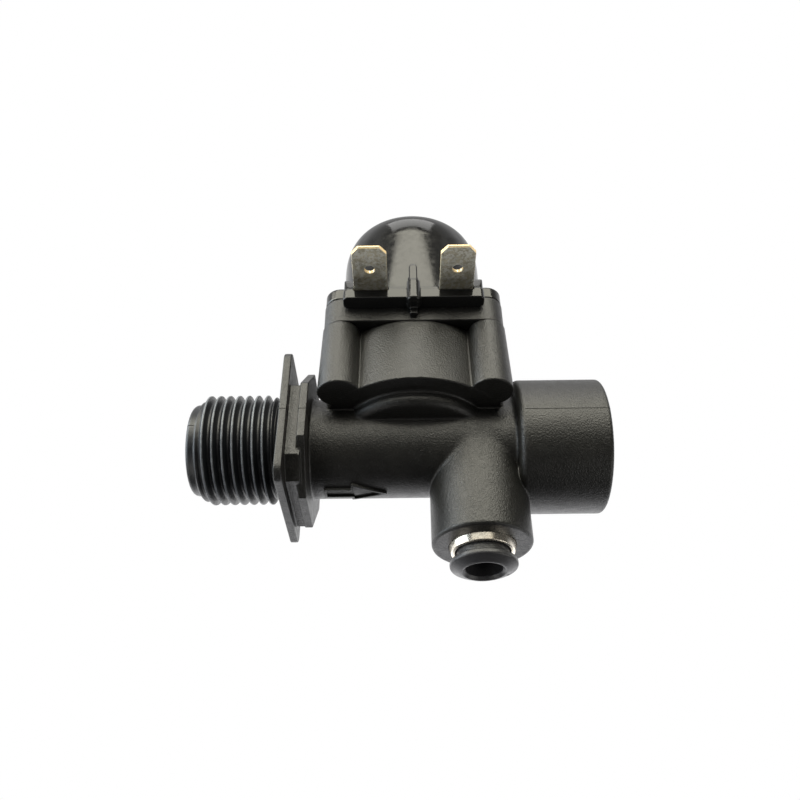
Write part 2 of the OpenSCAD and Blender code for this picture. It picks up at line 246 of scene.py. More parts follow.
def turned(name, rows, axis, centre=(0, 0, 0)):
    """Closed outline turned about an axis; rows are indexed [row, axial or radius, angle]."""
    axial, radius = rows[:, 0], rows[:, 1]
    angles = turn_angles(rows.shape[2])[None, :]
    across, up = radius * np.cos(angles), radius * np.sin(angles)
    grid = [axial, across, up] if axis == "x" else [across, up, axial]
    points = np.stack(grid, -1).reshape(-1, 3) + np.array(centre)
    return ring_object(name, points, ring_quads(len(rows), rows.shape[2], closed=True))


# ---------------------------------------------------------------- valve body
TUBE_RADIUS = 9.48
SOCKET_RADIUS = 12.78
FLANGE_HALF = 13.77                # half the side of the square flange
FLANGE_X = (-24.41, -22.97)
COLLAR_HALF = 13.75                # centre to flat of the octagonal collar
COLLAR_X = (-20.9, -19.4)
PORT_RADIUS = 9.0

# Bores on the coil axis: radius, low z, high z
COIL_AXIS_BORES = [(6.9, 13.6, 16.2), (15.4, 15.9, 20), (4.6, -3, 17)]
# Port bores, stepping in as they rise: radius, top z
PORT_BORES = [(5.95, -17.2), (5.4, -14.4), (5.0, -12.4), (3.45, -10.2), (2.4, -5.2)]
# Centre line of the flow arrow, which points to +X: x, y
ARROW = [(-16.7, 1.25), (-16.7, -1.25), (-11.7, -1.25), (-11.7, -2.5),
         (-5.65, 0), (-11.7, 2.5), (-11.7, 1.25)]


def drafted(radial, z, foot_radius, taper, to_distance):
    """Wall that leans inward as it rises from the foot of the hood."""
    return (radial - (foot_radius - (z - HOOD_FOOT) * taper)) * to_distance


def body_solid(x, y, z):
    from_flow, from_coil = np.hypot(y, z), np.hypot(x, y)
    side, height = np.abs(y), np.abs(z)
    solid = cylinder(from_flow, x, TUBE_RADIUS, -20.5, 20.0)
    # socket, with a fuller rounding on its inner shoulder than at its mouth
    shoulder = cylinder(from_flow, x, SOCKET_RADIUS, 18.48, 50, 1.25)
    mouth = cylinder(from_flow, x, SOCKET_RADIUS, 0, 34.93, 0.7)
    solid = join(solid, np.maximum(shoulder, mouth), 0.9)
    octagon = overlap(side, height, (side + height) * OCTAGON) - COLLAR_HALF
    solid = join(solid, prism(octagon, x, *COLLAR_X, 0.2), 0.5)
    # neck between collar and flange: a block with its lower and upper edges sloped off
    neck = overlap(side - 12, -12 - z, z - 9.3, (side - z - 20.6) * OCTAGON,
                   ((side - 12) * 2.9 + (z - 6.4) * 4) / 4.941)
    solid = join(solid, prism(neck, x, -23.4, -20.3, 0.15), 0.3)
    flange = rectangle(y, z, FLANGE_HALF, FLANGE_HALF, 2.5)
    solid = join(solid, prism(flange, x, *FLANGE_X, 0.22), 0.25)
    port = cylinder(np.hypot(x - PORT_X, y), z, PORT_RADIUS, -20.7, 0, 0.6)
    solid = join(solid, port, 0.5)
    # step under the hood, then the hood with its four screw posts
    solid = join(solid, cylinder(from_coil, z, 14.6, 0.36, 6, 1.5), 0.25)
    wall = drafted(from_coil, z, 18.4, taper=0.0825, to_distance=0.9966)
    post = drafted(from_screw(x, y), z, 3.94, taper=0.0302, to_distance=0.9995)
    hood = join(prism(wall, z, HOOD_FOOT, BONNET_FOOT, 0.25),
                prism(post, z, HOOD_FOOT, BONNET_FOOT, 0.25), 0.35)
    return join(solid, hood, 0.5)


def body_field(x, y, z):
    from_flow, from_coil = np.hypot(y, z), np.hypot(x, y)
    from_port = np.hypot(x - PORT_X, y)
    solid = carve(body_solid(x, y, z), cylinder(from_flow, x, 6.6, -60, -8))     # inlet bore
    # ring chamber round a central wall
    chamber = meet(cylinder(from_coil, z, 12.9, 3.6, 17.0), 6.4 - from_coil, 0.1)
    solid = carve(solid, chamber)
    for radius, low, high in COIL_AXIS_BORES:
        solid = carve(solid, cylinder(from_coil, z, radius, low, high))
    # outlet bore, 3 mm below the flow axis, opening into the socket
    solid = carve(solid, cylinder(np.hypot(y, z + 3), x, 5.4, 0, 20.5))
    solid = carve(solid, cylinder(from_flow, x, 10.75, 19.6, 60), 0.3)
    for radius, top in PORT_BORES:
        solid = carve(solid, cylinder(from_port, z, radius, -30, top), 0.12)
    solid = carve(solid, cylinder(from_screw(x, y), z, 1.45, 6, 20))
    # ring-shaped relief in the flange face around the thread
    return carve(solid, cylinder(np.abs(from_flow - 9.83), x, 0.87, -26, -24.11))


def arrow_field(x, y, z):
    """Outlined flow arrow standing proud of the underside of the tube."""
    from_flow = np.hypot(y, z)
    line = 1e3
    for start, end in zip(ARROW, ARROW[1:] + ARROW[:1]):
        line = np.minimum(line, segment(x, y, start, end))
    skin = np.maximum(from_flow - TUBE_RADIUS - 0.42, TUBE_RADIUS - 0.4 - from_flow)
    return meet(line - 0.25, skin, 0.08)


body = field_object("body_shell", body_field, (-24.5, -18.5, -20.75), (34.95, 18.5, 17.5), 0.27)
arrow = field_object("flow_arrow", arrow_field, (-17.1, -2.9, -10.0), (-5.2, 2.9, -8.5), 0.1)


# ---------------------------------------------------------------- threads
PITCH = 1.814
CREST, ROOT = 10.4775, 9.316       # radii of the thread form
THREAD_SIDES = 200
OUTLET_START = 20.0

# Plain parts of the inlet, from the bore round the nose to the thread: x, radius
INLET_NOSE = [
    (-24.6, 6.6), (-40.1, 6.6), (-40.1, 7.4), (-41.7, 7.4), (-41.9, 7.45), (-42.0, 7.7),
    (-42.0, 7.95), (-41.92, 8.25), (-41.75, 8.48), (-41.5, 8.64), (-41.2, 8.72),
    (-40.5, 8.72), (-40.35, 8.78), (-40.2, 9.0)]
# Inlet behind the thread: x, radius
INLET_BACK = [(-25.5, 9.1), (-25.3, 8.95), (-24.0, 8.95), (-24.0, 6.6)]
# Rim and outside of the outlet lining: x, radius
OUTLET_RIM = [(34.25, 10.66), (34.3, 10.95), (19.5, 10.95), (19.5, 10.3), (19.6, 10.0)]


def tooth(turns):
    """Rounded 55 degree form: 1 at whole turns, 0 half way between."""
    t = np.abs((turns + 0.5) % 1.0 - 0.5) * 2
    t = np.clip((t - 0.08) / 0.8, 0, 1)
    return 1 - t * t * (3 - 2 * t)


def thread_grid(start, end, stations):
    x = np.repeat(np.linspace(start, end, stations)[:, None], THREAD_SIDES, 1)
    return x, turn_angles(THREAD_SIDES)[None, :] / (2 * math.pi)


def build_inlet():
    """Outside thread, fading in at the nose and out at the flange."""
    x, turn = thread_grid(-40.15, -25.6, 292)
    fade = np.clip((x + 40.15) / 1.1, 0, 1) * np.clip((-25.7 - x) / 1.0, 0, 1)
    form = tooth((x + AXIS_X) / PITCH - turn + 0.25)
    radius = ROOT - 0.02 + (CREST - ROOT) * form * fade
    rows = [plain_rows(INLET_NOSE, THREAD_SIDES), np.stack([x, radius], 1),
            plain_rows(INLET_BACK, THREAD_SIDES)]
    return turned("inlet_thread", np.concatenate(rows), "x")


def build_outlet():
    """Inside thread, fading in at the inner end and flared at the mouth."""
    x, turn = thread_grid(OUTLET_START, 33.9, 280)
    fade = np.clip((x - OUTLET_START) / 1.4, 0, 1)
    radius = CREST - (CREST - ROOT) * tooth((x - OUTLET_START) / PITCH - turn) * fade
    radius = np.maximum(radius, ROOT + (x - 32.6) * 0.95)
    rows = [np.stack([x, radius], 1), plain_rows(OUTLET_RIM, THREAD_SIDES)]
    return turned("outlet_thread", np.concatenate(rows), "x")


inlet = build_inlet()
outlet = build_outlet()

# ---------------------------------------------------------------- parting lines
# Thin raised lines where the mould closes, in the plane z = 0: x, distance out in y
PARTING = {
    "flange": [(-24.41, 10.8), (-24.41, FLANGE_HALF - 0.25), (-24.33, FLANGE_HALF - 0.07),
               (-24.16, FLANGE_HALF), (-23.22, FLANGE_HALF), (-23.05, FLANGE_HALF - 0.07),
               (-22.97, FLANGE_HALF - 0.25), (-22.97, 12.1)],
    "collar": [(-20.9, 12.3), (-20.9, 13.55), (-20.84, 13.69), (-20.7, COLLAR_HALF),
               (-19.6, COLLAR_HALF), (-19.46, 13.69), (-19.4, 13.55), (-19.4, 10.3)],
    "socket": [(19.6, SOCKET_RADIUS), (34.2, SOCKET_RADIUS), (34.5, SOCKET_RADIUS - 0.07),
               (34.76, SOCKET_RADIUS - 0.25), (34.84, SOCKET_RADIUS - 0.5),
               (34.85, SOCKET_RADIUS - 0.8), (34.85, 11.2)],
    "nose": [(-40.6, 8.72), (-41.2, 8.72), (-41.5, 8.64), (-41.75, 8.48), (-41.88, 8.25),
             (-41.92, 7.95)],
}


def ridge_line(name, path, radius=0.07, sides=8):
    """Slightly flattened cord along a path in the plane z = 0."""
    path = np.array(path, float)
    up = np.array([0, 0, 1.0])
    points = []
    for k, place in enumerate(path):
        run = path[min(k + 1, len(path) - 1)] - path[max(k - 1, 0)]
        across = np.cross(run / np.linalg.norm(run), up)
        for j in range(sides):
            angle = 2 * math.pi * j / sides
            offset = math.cos(angle) * across * 1.1 + math.sin(angle) * up * 0.9
            points.append(place + radius * offset)
    return ring_object(name, np.array(points), ring_quads(len(path), sides))


seams = [ridge_line(f"parting_{place}_{k}", [(x, side * y, 0) for x, y in outline])
         for k, side in enumerate((-1, 1)) for place, outline in PARTING.items()]
for piece in [body, inlet, outlet, arrow] + seams:
    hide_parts("valve_body")


# ---------------------------------------------------------------- bonnet
def bonnet_field(x, y, z):
    from_coil = np.hypot(x, y)
    plate = prism(rectangle(x, y, 17.15, 17.15, 3.5), z, BONNET_FOOT, COIL_FOOT, 0.25)
    sleeve = cylinder(from_coil, z, 5.4, 22, 46.7, 0.6)
    solid = join(plate, sleeve, 0.4)
    solid = carve(solid, cylinder(from_coil, z, 12.4, 10, 20.2))      # recess from below
    solid = carve(solid, cylinder(from_coil, z, 4.26, 10, 45.7))      # bore of the sleeve
    return carve(solid, cylinder(from_screw(x, y), z, 1.95, 10, 30), 0.1)


bonnet = field_object("bonnet_cover", bonnet_field,
                      (-17.2, -17.2, 17.5), (17.2, 17.2, 46.7), 0.27)
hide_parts("bonnet")

# ---------------------------------------------------------------- coil
CAN_RADIUS, CAN_DRAFT = 14.8, 0.0125
CAN_SHOULDER = 43.8                # height where the wall starts to round over
CAN_IN, CAN_UP = 3.0, 7.7          # reach of the rounding, inward and upward
CAN_POWER = 2.5                    # superellipse exponent of the rounding


def can_field(x, y, z):
    """Slightly drafted wall, rounded over at the top and cut off inside the foot."""
    from_coil = np.hypot(x, y)
    radius = CAN_RADIUS + np.clip(CAN_SHOULDER - z, 0, 18) * CAN_DRAFT
    inward = np.maximum(from_coil - radius + CAN_IN, 0) / CAN_IN
    upward = np.maximum(z - CAN_SHOULDER, 0) / CAN_UP
    level = (inward ** CAN_POWER + upward ** CAN_POWER) ** (1 / CAN_POWER)
    # dividing by the slope turns the level into a distance
    slope = np.maximum(level, 1e-3) ** (1 - CAN_POWER) * np.hypot(
        inward ** (CAN_POWER - 1) / CAN_IN, upward ** (CAN_POWER - 1) / CAN_UP)
    return np.maximum((level - 1) / np.maximum(slope, 0.125), 24 - z)


def terminal_block(x, y, z):
    """Bar on the -Y side that holds the blades, open in the middle of its upper part."""
    lower = prism(rectangle(x, y + 18.7, 13.3, 1.5, 1.0), z, 20.5, 22.87, 0.18)
    upper = prism(rectangle(x, y + 18.65, 13.15, 1.5, 0.95), z, 22.8, 26.0, 0.18)
    upper = meet(upper, (-y - 20.13) * 0.9908 + (z - 22.9) * 0.135, 0.1)     # leaning face
    upper = meet(upper, 4.8 - np.abs(x), 0.15)
    upper = meet(upper, (z - y - 45.05) * UNSLANT, 0.25)
    neck = prism(rectangle(x, y + 15.8, 11, 1.6, 0.2), z, 23.25, 26.0, 0.2)
    return join(np.minimum(lower, upper), neck, 0.2)


def coil_field(x, y, z):
    from_coil, screw = np.hypot(x, y), from_screw(x, y)
    foot = prism(rectangle(x, y, 17.0, 17.0, 3.0), z, COIL_FOOT, 26, 0.35)
    solid = join(foot, can_field(x, y, z), 0.8)
    solid = join(solid, terminal_block(x, y, z), 0.35)
    # upright rib in the middle of the block, with a fin behind and a tail below
    rib = prism(rectangle(x, y + 19.1, 1.25, 1.9, 1.15), z, 19.8, 24.8, 0.35)
    fin = prism(rectangle(z - 27, x, 4.0, 0.8, 0.76), -y, 12, 18.6, 0.3)
    tail = prism(rectangle(x, y + 17.8, 0.75, 0.5, 0.3), z, 18.3, 22.3, 0.15)
    solid = join(solid, join(rib, fin, 0.5), 0.3)
    solid = join(solid, tail, 0.15)
    # blade slots, centre hole, winding space, then screw holes and their counterbores
    slot = rectangle(np.abs(x) - BLADE_X, z - BLADE_Z, 3.3, 0.55, 0.15)
    solid = carve(solid, prism(slot, -y, 19.9, 30))
    solid = carve(solid, cylinder(from_coil, z, 5.46, 10, 47))
    solid = carve(solid, cylinder(from_coil, z, 12.62, 27, 48.4))
    solid = carve(solid, cylinder(screw, z, 1.95, 10, 30), 0.05)
    return carve(solid, cylinder(screw, z, 2.75, 24.1, 30), 0.12)


coil = field_object("coil_moulding", coil_field,
                    (-17.0, -21.05, 18.25), (17.0, 17.0, 52.25), 0.25)
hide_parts("coil_overmould")

# ---------------------------------------------------------------- terminals
BLADE_TIP, BLADE_ROOT = -30.8, -17.7       # y
BLADE_LOW, BLADE_HIGH = 22.5, 23.3         # z
TONGUE_LOW, TONGUE_HIGH = 24.4, 25.2       # z


def blade_field(x, y, z):
    """Blade at +X, with a leg up from its root and a tongue on into the coil."""
    across, past_tip = np.abs(x - BLADE_X), BLADE_TIP - y
    outline = overlap(across - 3.15, past_tip, y - BLADE_ROOT,
                      ((across - 1.85) * 1.6 + past_tip * 1.3) / 2.0616)
    outline = carve(outline, np.hypot(x - BLADE_X, y + 25.4) - 0.95, 0.05)
    blade = prism(outline, z, BLADE_LOW, BLADE_HIGH, 0.09)
    # small lead-in bevel on the outer end
    blade = np.maximum(blade, (past_tip + np.abs(z - BLADE_Z) * 0.9 - 0.12) * 0.74)
    leg = prism(rectangle(x - 6.5, y + 18.1, 1.3, 0.4, 0.05), z, BLADE_LOW, TONGUE_HIGH, 0.05)
    tongue = rectangle(x - 6.5, y + 13.05, 1.3, 5.45, 0.05)
    tongue = prism(tongue, z, TONGUE_LOW, TONGUE_HIGH, 0.05)
    return np.minimum(blade, np.minimum(leg, tongue))


def blade_left_field(x, y, z):
    return blade_field(-x, y, z)


blade_right = field_object("spade_right", blade_field,
                           (4.8, -30.9, 22.4), (11.3, -7.5, 25.3), 0.1)
blade_left = field_object("spade_left", blade_left_field,
                          (-11.3, -30.9, 22.4), (-4.8, -7.5, 25.3), 0.1)
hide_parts("terminal_right")
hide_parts("terminal_left")

# ---------------------------------------------------------------- push-in port
# Closed outline of the brass ring: radius, z
PORT_RING = [
    (4.86, -17.3), (4.94, -17.22), (5.85, -17.22), (5.93, -17.3), (5.93, -20.66), (5.9, -20.8),
    (5.63, -21.86), (5.6, -21.94), (5.52, -21.99), (5.44, -22.0), (5.1, -22.0), (5.0, -21.96),
    (4.92, -21.88), (4.88, -21.78), (4.86, -21.65)]
EDGE_GAP = 0.03                    # rows this close to an edge keep long faces flat


def build_ring():
    outline = []
    for (r0, z0), (r1, z1) in zip(PORT_RING, PORT_RING[1:] + PORT_RING[:1]):
        length = math.hypot(r1 - r0, z1 - z0)
        cuts = (0.0, EDGE_GAP / length, 1 - EDGE_GAP / length) if length > 0.4 else (0.0,)
        outline += [(z0 + (z1 - z0) * t, r0 + (r1 - r0) * t) for t in cuts]
    return turned("port_ring_brass", plain_rows(outline, 160), "z", (PORT_X, 0, 0))


def collet_field(x, y, z):
    u = x - PORT_X
    radial = np.hypot(u, y)
    # flange at the lower end with a sloped face, a sleeve and a lip at its top
    solid = cylinder(radial, z, 6.0, -25.5, -23.6, 0.35)
    solid = meet(solid, ((radial - 4.0) * 0.8 + (-25.5 - z) * 1.7) / 1.879, 0.25)
    solid = join(solid, cylinder(radial, z, 4.7, -25, -16.6, 0.1), 0.2)
    solid = np.minimum(solid, cylinder(radial, z, 5.15, -17.1, -16.6, 0.08))
    # bore flared at the mouth, with a groove near the top
    bore = np.minimum(radial - 3.25, (radial - 3.85 + (z + 25.5)) * UNSLANT)
    solid = carve(solid, bore, 0.12)
    solid = carve(solid, cylinder(np.abs(radial - 3.5), z, 0.62, -18.2, -17.7))
    # crossed slots that part the sleeve, and a nick in the flange
    slots = np.minimum(np.abs(u), np.abs(y)) - 0.4
    solid = carve(solid, np.maximum(slots, -21 - z))
    nick = np.hypot(u - 4.55, y - 2.2) - 0.5
    return carve(solid, np.maximum(nick, z + 24.85), 0.1)


ring = build_ring()
collet = field_object("collet_moulding", collet_field, (PORT_X - 6.1, -6.1, -25.6),
                      (PORT_X + 6.1, 6.1, -16.5), 0.12, "collet")
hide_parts("port_ring")
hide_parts("release_collet")

# ---------------------------------------------------------------- return spring
COIL_RADIUS, WIRE_RADIUS = 2.04, 0.2
SPRING_Z = (29.52, 39.28)
CLOSED_RISE = 0.42                 # climb of the closed turn at each end
OPEN_TURNS = 6
WIRE_SIDES, STEPS_PER_TURN = 10, 36


def build_spring():
    """Round wire in six open turns with a closed turn at each end, round the coil axis."""
    turns = OPEN_TURNS + 2
    u = np.linspace(0, turns, turns * STEPS_PER_TURN + 1)
    low, high = SPRING_Z[0] + WIRE_RADIUS, SPRING_Z[1] - WIRE_RADIUS
    z = (low + CLOSED_RISE * np.clip(u, 0, 1)
         + (high - low - 2 * CLOSED_RISE) * np.clip((u - 1) / OPEN_TURNS, 0, 1)
         + CLOSED_RISE * np.clip(u - OPEN_TURNS - 1, 0, 1))
    points = []
    for angle, height in zip(2 * math.pi * u, z):
        out = np.array([math.cos(angle), math.sin(angle), 0.0])
        for j in range(WIRE_SIDES):
            a = 2 * math.pi * j / WIRE_SIDES
            rise = np.array([0, 0, height + WIRE_RADIUS * math.sin(a)])
            points.append(out * (COIL_RADIUS + WIRE_RADIUS * math.cos(a)) + rise)
    # four quads close each ten-sided wire end
    cap = np.array([(0, 1, 2, 3), (0, 3, 4, 9), (4, 5, 8, 9), (5, 6, 7, 8)])
    quads = [ring_quads(len(u), WIRE_SIDES), cap, cap + (len(u) - 1) * WIRE_SIDES]
    made = ring_object("return_spring", np.array(points), np.concatenate(quads))
    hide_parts("armature_spring")
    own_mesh(made)
    return made


spring = build_spring()

# ---------------------------------------------------------------- materials
BLACK, WHITE = (0, 0, 0), (1, 1, 1)


class Nodes:
    """Builds a node tree; every input takes either a value or another node's output."""

    def __init__(self, tree):
        self.tree = tree
        tree.nodes.clear()

    def feed(self, socket, value):
        if hasattr(value, "is_output"):
            self.tree.links.new(value, socket)
        else:
            socket.default_value = value

    def node(self, kind, inputs=None, **settings):
        made = self.tree.nodes.new("ShaderNode" + kind)
        for key, value in settings.items():
            setattr(made, key, value)
        for key, value in (inputs or {}).items():
            self.feed(made.inputs[key], value)
        return made

    def math(self, operation, *values):
        return self.node("Math", dict(enumerate(values)), operation=operation).outputs[0]

    def ramp(self, source, start, end, low=BLACK, high=WHITE, middle=()):
        """Colours from low at start to high at end; middle adds (place, colour) stops."""
        made = self.node("ValToRGB", {0: source})
        stops = made.color_ramp.elements
        for stop, place, rgb in ((stops[0], start, low), (stops[1], end, high)):
            stop.position = place
            stop.color = (*rgb, 1)
        for place, rgb in middle:
            stops.new(place).color = (*rgb, 1)
        return made.outputs[0]

    def mix(self, factor, a, b, blend="MIX"):
        a, b = [(*v, 1) if isinstance(v, tuple) else v for v in (a, b)]
        made = self.node("Mix", data_type="RGBA", blend_type=blend)
        for key, value in ((0, factor), (6, a), (7, b)):
            self.feed(made.inputs[key], value)
        return made.outputs[2]

    def remap(self, source, span, to=(0.0, 1.0)):
        inputs = {0: source, 1: span[0], 2: span[1], 3: to[0], 4: to[1]}
        return self.node("MapRange", inputs).outputs[0]


class Material(Nodes):
    def __init__(self, name):
        self.data = bpy.data.materials.new(name)
        self.data.use_nodes = True
        super().__init__(self.data.node_tree)
        self.output = self.node("OutputMaterial")
        self.surface = self.node("BsdfPrincipled")
        self.feed(self.output.inputs[0], self.surface.outputs[0])
        self.place = self.node("TexCoord").outputs["Object"]

    def set(self, name, value):
        self.feed(self.surface.inputs[name], value)

    def noise(self, scale, detail=3.0, roughness=0.55):
        return self.node("TexNoise", {"Scale": scale, "Detail": detail, "Roughness": roughness,
                                      "Vector": self.place}).outputs["Fac"]

    def edge(self, low, high):
        """0 to 1 as the surface's pointiness goes from low to high."""
        return self.remap(self.node("NewGeometry").outputs["Pointiness"], (low, high))

    def bevel(self, radius):
        """Rounded shading normal, or None for no bevel."""
        return self.node("Bevel", {"Radius": radius}, samples=6).outputs[0] if radius else None

    def bump(self, height, depth, strength=1.0, normal=None):
        inputs = {"Strength": strength, "Distance": depth, "Height": height}
        if normal is not None:
            inputs["Normal"] = normal
        return self.node("Bump", inputs).outputs[0]


def crest_painted_highlight(mat, patches, crest):
    """Painted highlight: thread crests coloured a pale blue, picked out by distance from the flow
    axis.
    """
    flat = mat.node("VectorMath", {0: mat.place, 1: (0, 1, 1)}, operation="MULTIPLY")
    radial = mat.node("VectorMath", {0: flat.outputs[0]}, operation="LENGTH").outputs["Value"]
    return mat.math("MULTIPLY", mat.remap(radial, (crest - 0.00011, crest - 0.00002)),
                    mat.remap(patches, (0.35, 0.65), (0.55, 1.0)))


def plastic(name, base, tint, rough, grain, grain_scale, specular=0.5, wear=0.25, bevel=0,
            dust=0, wave=0.00001, crest=None):
    """Plastic in patches of base and tint. grain and wave are the depths of the fine and
    broad bumps; wear is how pale edges get, dust how strong the specks are."""
    mat = Material(name)
    patches = mat.ramp(mat.noise(180, 4), 0.35, 0.7)
    mottle = mat.noise(900, 4)
    colour = mat.mix(patches, base, tint)
    worn = mat.math("MULTIPLY", mat.edge(0.52, 0.6), mat.remap(mottle, (0.35, 0.7), (0.0, wear)))
    colour = mat.mix(worn, colour, tuple(min(1, v * 2.6 + 0.02) for v in base))
    if dust:
        specks = mat.ramp(mat.noise(5200, 2, 0.7), 0.72, 0.8, high=(dust, dust, dust))
        colour = mat.mix(specks, colour, (0.25, 0.24, 0.21))
    # Painted highlight: pale blue colour on the thread crests
    if crest:
        colour = mat.mix(crest_painted_highlight(mat, mottle, crest), colour, (0.17, 0.185, 0.205))
    mat.set("Base Color", colour)
    mat.set("Roughness", mat.remap(mottle, (0.3, 0.7), (rough - 0.05, rough + 0.07)))
    mat.set("Specular IOR Level", specular)
    fine = mat.bump(mat.noise(grain_scale, 2, 0.6), grain, normal=mat.bevel(bevel))
    mat.set("Normal", mat.bump(mat.noise(420, 3), wave, 0.6, fine))
    return mat.data


def metal(name, base, tint, rough, bevel=0.00012, grain=0.000004, metallic=1.0,
          speck=None, gold=None, painted_root_shade=None):
    """Metal in patches of base and tint. speck scatters spots, gold tints upright faces and
    the last colour paints shade on the blades, none at the -Y tip and darkest at the root."""
    mat = Material(name)
    colour = mat.mix(mat.ramp(mat.noise(500, 5), 0.3, 0.7), base, tint)
    roughness = mat.remap(mat.noise(2400, 4), (0.3, 0.7), (rough - 0.07, rough + 0.12))
    if speck:
        colour = mat.mix(mat.ramp(mat.noise(1500, 4, 0.8), 0.47, 0.54), colour, speck)
    if gold:
        normal = mat.node("NewGeometry").outputs["True Normal"]
        level = mat.math("ABSOLUTE", mat.node("SeparateXYZ", {0: normal}).outputs[2])
        colour = mat.mix(mat.remap(level, (0.55, 0.9), (1.0, 0.0)), colour, gold)
    # Painted shade: the blades are coloured darker towards their root
    if painted_root_shade:
        y = mat.node("SeparateXYZ", {0: mat.place}).outputs[1]
        ragged = mat.math("MULTIPLY_ADD", mat.noise(700, 4), 0.006, y)
        # painted shade under the terminal block: strength 0 at the far -Y end, 0.8 at the root
        colour = mat.mix(mat.remap(ragged, (-0.0262, -0.0192), (0.0, 0.8)), colour, painted_root_shade)
    pale = tuple(min(1, v * 1.25 + 0.05) for v in base)
    mat.set("Base Color", mat.mix(mat.edge(0.53, 0.62), colour, pale))
    mat.set("Metallic", metallic)
    mat.set("Roughness", roughness)
    mat.set("Normal", mat.bump(mat.noise(5200, 3, 0.7), grain, normal=mat.bevel(bevel)))
    return mat.data


def put(material, *objects):
    for made in objects:
        made.data.materials.clear()
        made.data.materials.append(material)


body_black = plastic("body_black", (0.0065, 0.0064, 0.0056), (0.0105, 0.0102, 0.0088),
                     rough=0.37, grain=0.00011, grain_scale=3300, specular=0.6, wear=0.22,
                     dust=0.3, wave=0.00002)
thread_black = plastic("thread_black", (0.0055, 0.0065, 0.0085), (0.009, 0.010, 0.012),
                       rough=0.34, grain=0.00004, grain_scale=3300, wear=0.2, dust=0.2,
                       wave=0.00002, crest=CREST * MM)
coil_black = plastic("coil_black", (0.009, 0.009, 0.009), (0.012, 0.012, 0.0117),
                     rough=0.1, grain=0.000003, grain_scale=3800, wear=0.3, wave=0.000004)
collet_black = plastic("collet_black", (0.034, 0.034, 0.037), (0.058, 0.058, 0.061),
                       rough=0.33, grain=0.00004, grain_scale=3000, wear=0.3, dust=0.2)
natural = plastic("natural_plastic", (0.72, 0.69, 0.6), (0.8, 0.77, 0.68),
                  rough=0.42, grain=0.000005, grain_scale=3000, wear=0.1, bevel=0.00012)
rubber = plastic("black_rubber", (0.018, 0.018, 0.019), (0.03, 0.03, 0.03), rough=0.62,
                 grain=0.00001, grain_scale=4200, specular=0.35, wear=0.2, bevel=0.00012,
                 dust=0.4)
tape = plastic("winding_tape", (0.62, 0.47, 0.07), (0.7, 0.56, 0.12),
               rough=0.33, grain=0.00001, grain_scale=900, wear=0.1, bevel=0.0001)
# the tinned blades carry painted shade towards their root
tinned = metal("tinned_brass", (0.88, 0.82, 0.63), (0.5, 0.45, 0.34), rough=0.42, bevel=0,
               grain=0.00002, metallic=0.3, speck=(0.98, 0.96, 0.86), gold=(0.95, 0.72, 0.38),
               painted_root_shade=(0.045, 0.037, 0.02))
brass = metal("turned_brass", (1.0, 0.95, 0.84), (0.98, 0.88, 0.72), rough=0.24, bevel=0)
copper = metal("enamelled_copper", (0.62, 0.25, 0.11), (0.5, 0.17, 0.07), rough=0.3)
zinc = metal("zinc_steel", (0.5, 0.51, 0.53), (0.42, 0.42, 0.43), rough=0.36)
steel = metal("stainless", (0.6, 0.6, 0.6), (0.52, 0.52, 0.52), rough=0.26)

put(body_black, body, outlet, arrow, bonnet, *seams)
put(thread_black, inlet)
put(coil_black, coil)
put(collet_black, collet)
put(tinned, blade_left, blade_right)
put(brass, ring)
put(steel, spring)
# CAD pieces that keep their own meshes
for material, names in (
        (natural, ("inlet_strainer", "coil_bobbin", "diaphragm_insert", "port_spacer")),
        (rubber, ("diaphragm", "armature_seal", "port_oring")),
        (tape, ("winding_tape",)),
        (copper, ("coil_winding", "coil_leads")),
        (zinc, ("yoke_shell", "pole_washer_lower", "pole_washer_upper")),
        (steel, ("fixed_core", "armature", "grab_ring", "bonnet_screws"))):
    put(material, *[nodes[name] for name in names])


# ---------------------------------------------------------------- stage
def build_floor(half=0.9, height=-0.0262, count=24):
    line = np.linspace(-half, half, count)
    points = np.array([(x, y, height) for x in line for y in line])
    quads = [(i * count + j, (i + 1) * count + j, (i + 1) * count + j + 1, i * count + j + 1)
             for i in range(count - 1) for j in range(count - 1)]
    mesh = bpy.data.meshes.new("floor")
    mesh.from_pydata(points.tolist(), [], quads)
    floor = bpy.data.objects.new("floor", mesh)
    scene.collection.objects.link(floor)
    mat = Material("pale_floor")
    mat.set("Base Color", mat.mix(mat.ramp(mat.noise(6, 3), 0.3, 0.7),
                                  (0.78, 0.78, 0.77), (0.82, 0.82, 0.81)))
    mat.set("Roughness", 0.7)
    # clear from below, because the camera looks up through it, and fading out far away
    geometry = mat.node("NewGeometry").outputs
    reach = mat.node("VectorMath", {0: geometry["Position"]}, operation="LENGTH")
    far = mat.remap(reach.outputs["Value"], (0.16, 0.42))
    clear = mat.math("MAXIMUM", geometry["Backfacing"], far)
    glass = mat.node("BsdfTransparent").outputs[0]
    shader = mat.node("MixShader", {0: clear, 1: mat.surface.outputs[0], 2: glass})
    mat.feed(mat.output.inputs[0], shader.outputs[0])
    put(mat.data, floor)
    floor.visible_glossy = False
    floor.visible_diffuse = False
    floor.visible_shadow = False


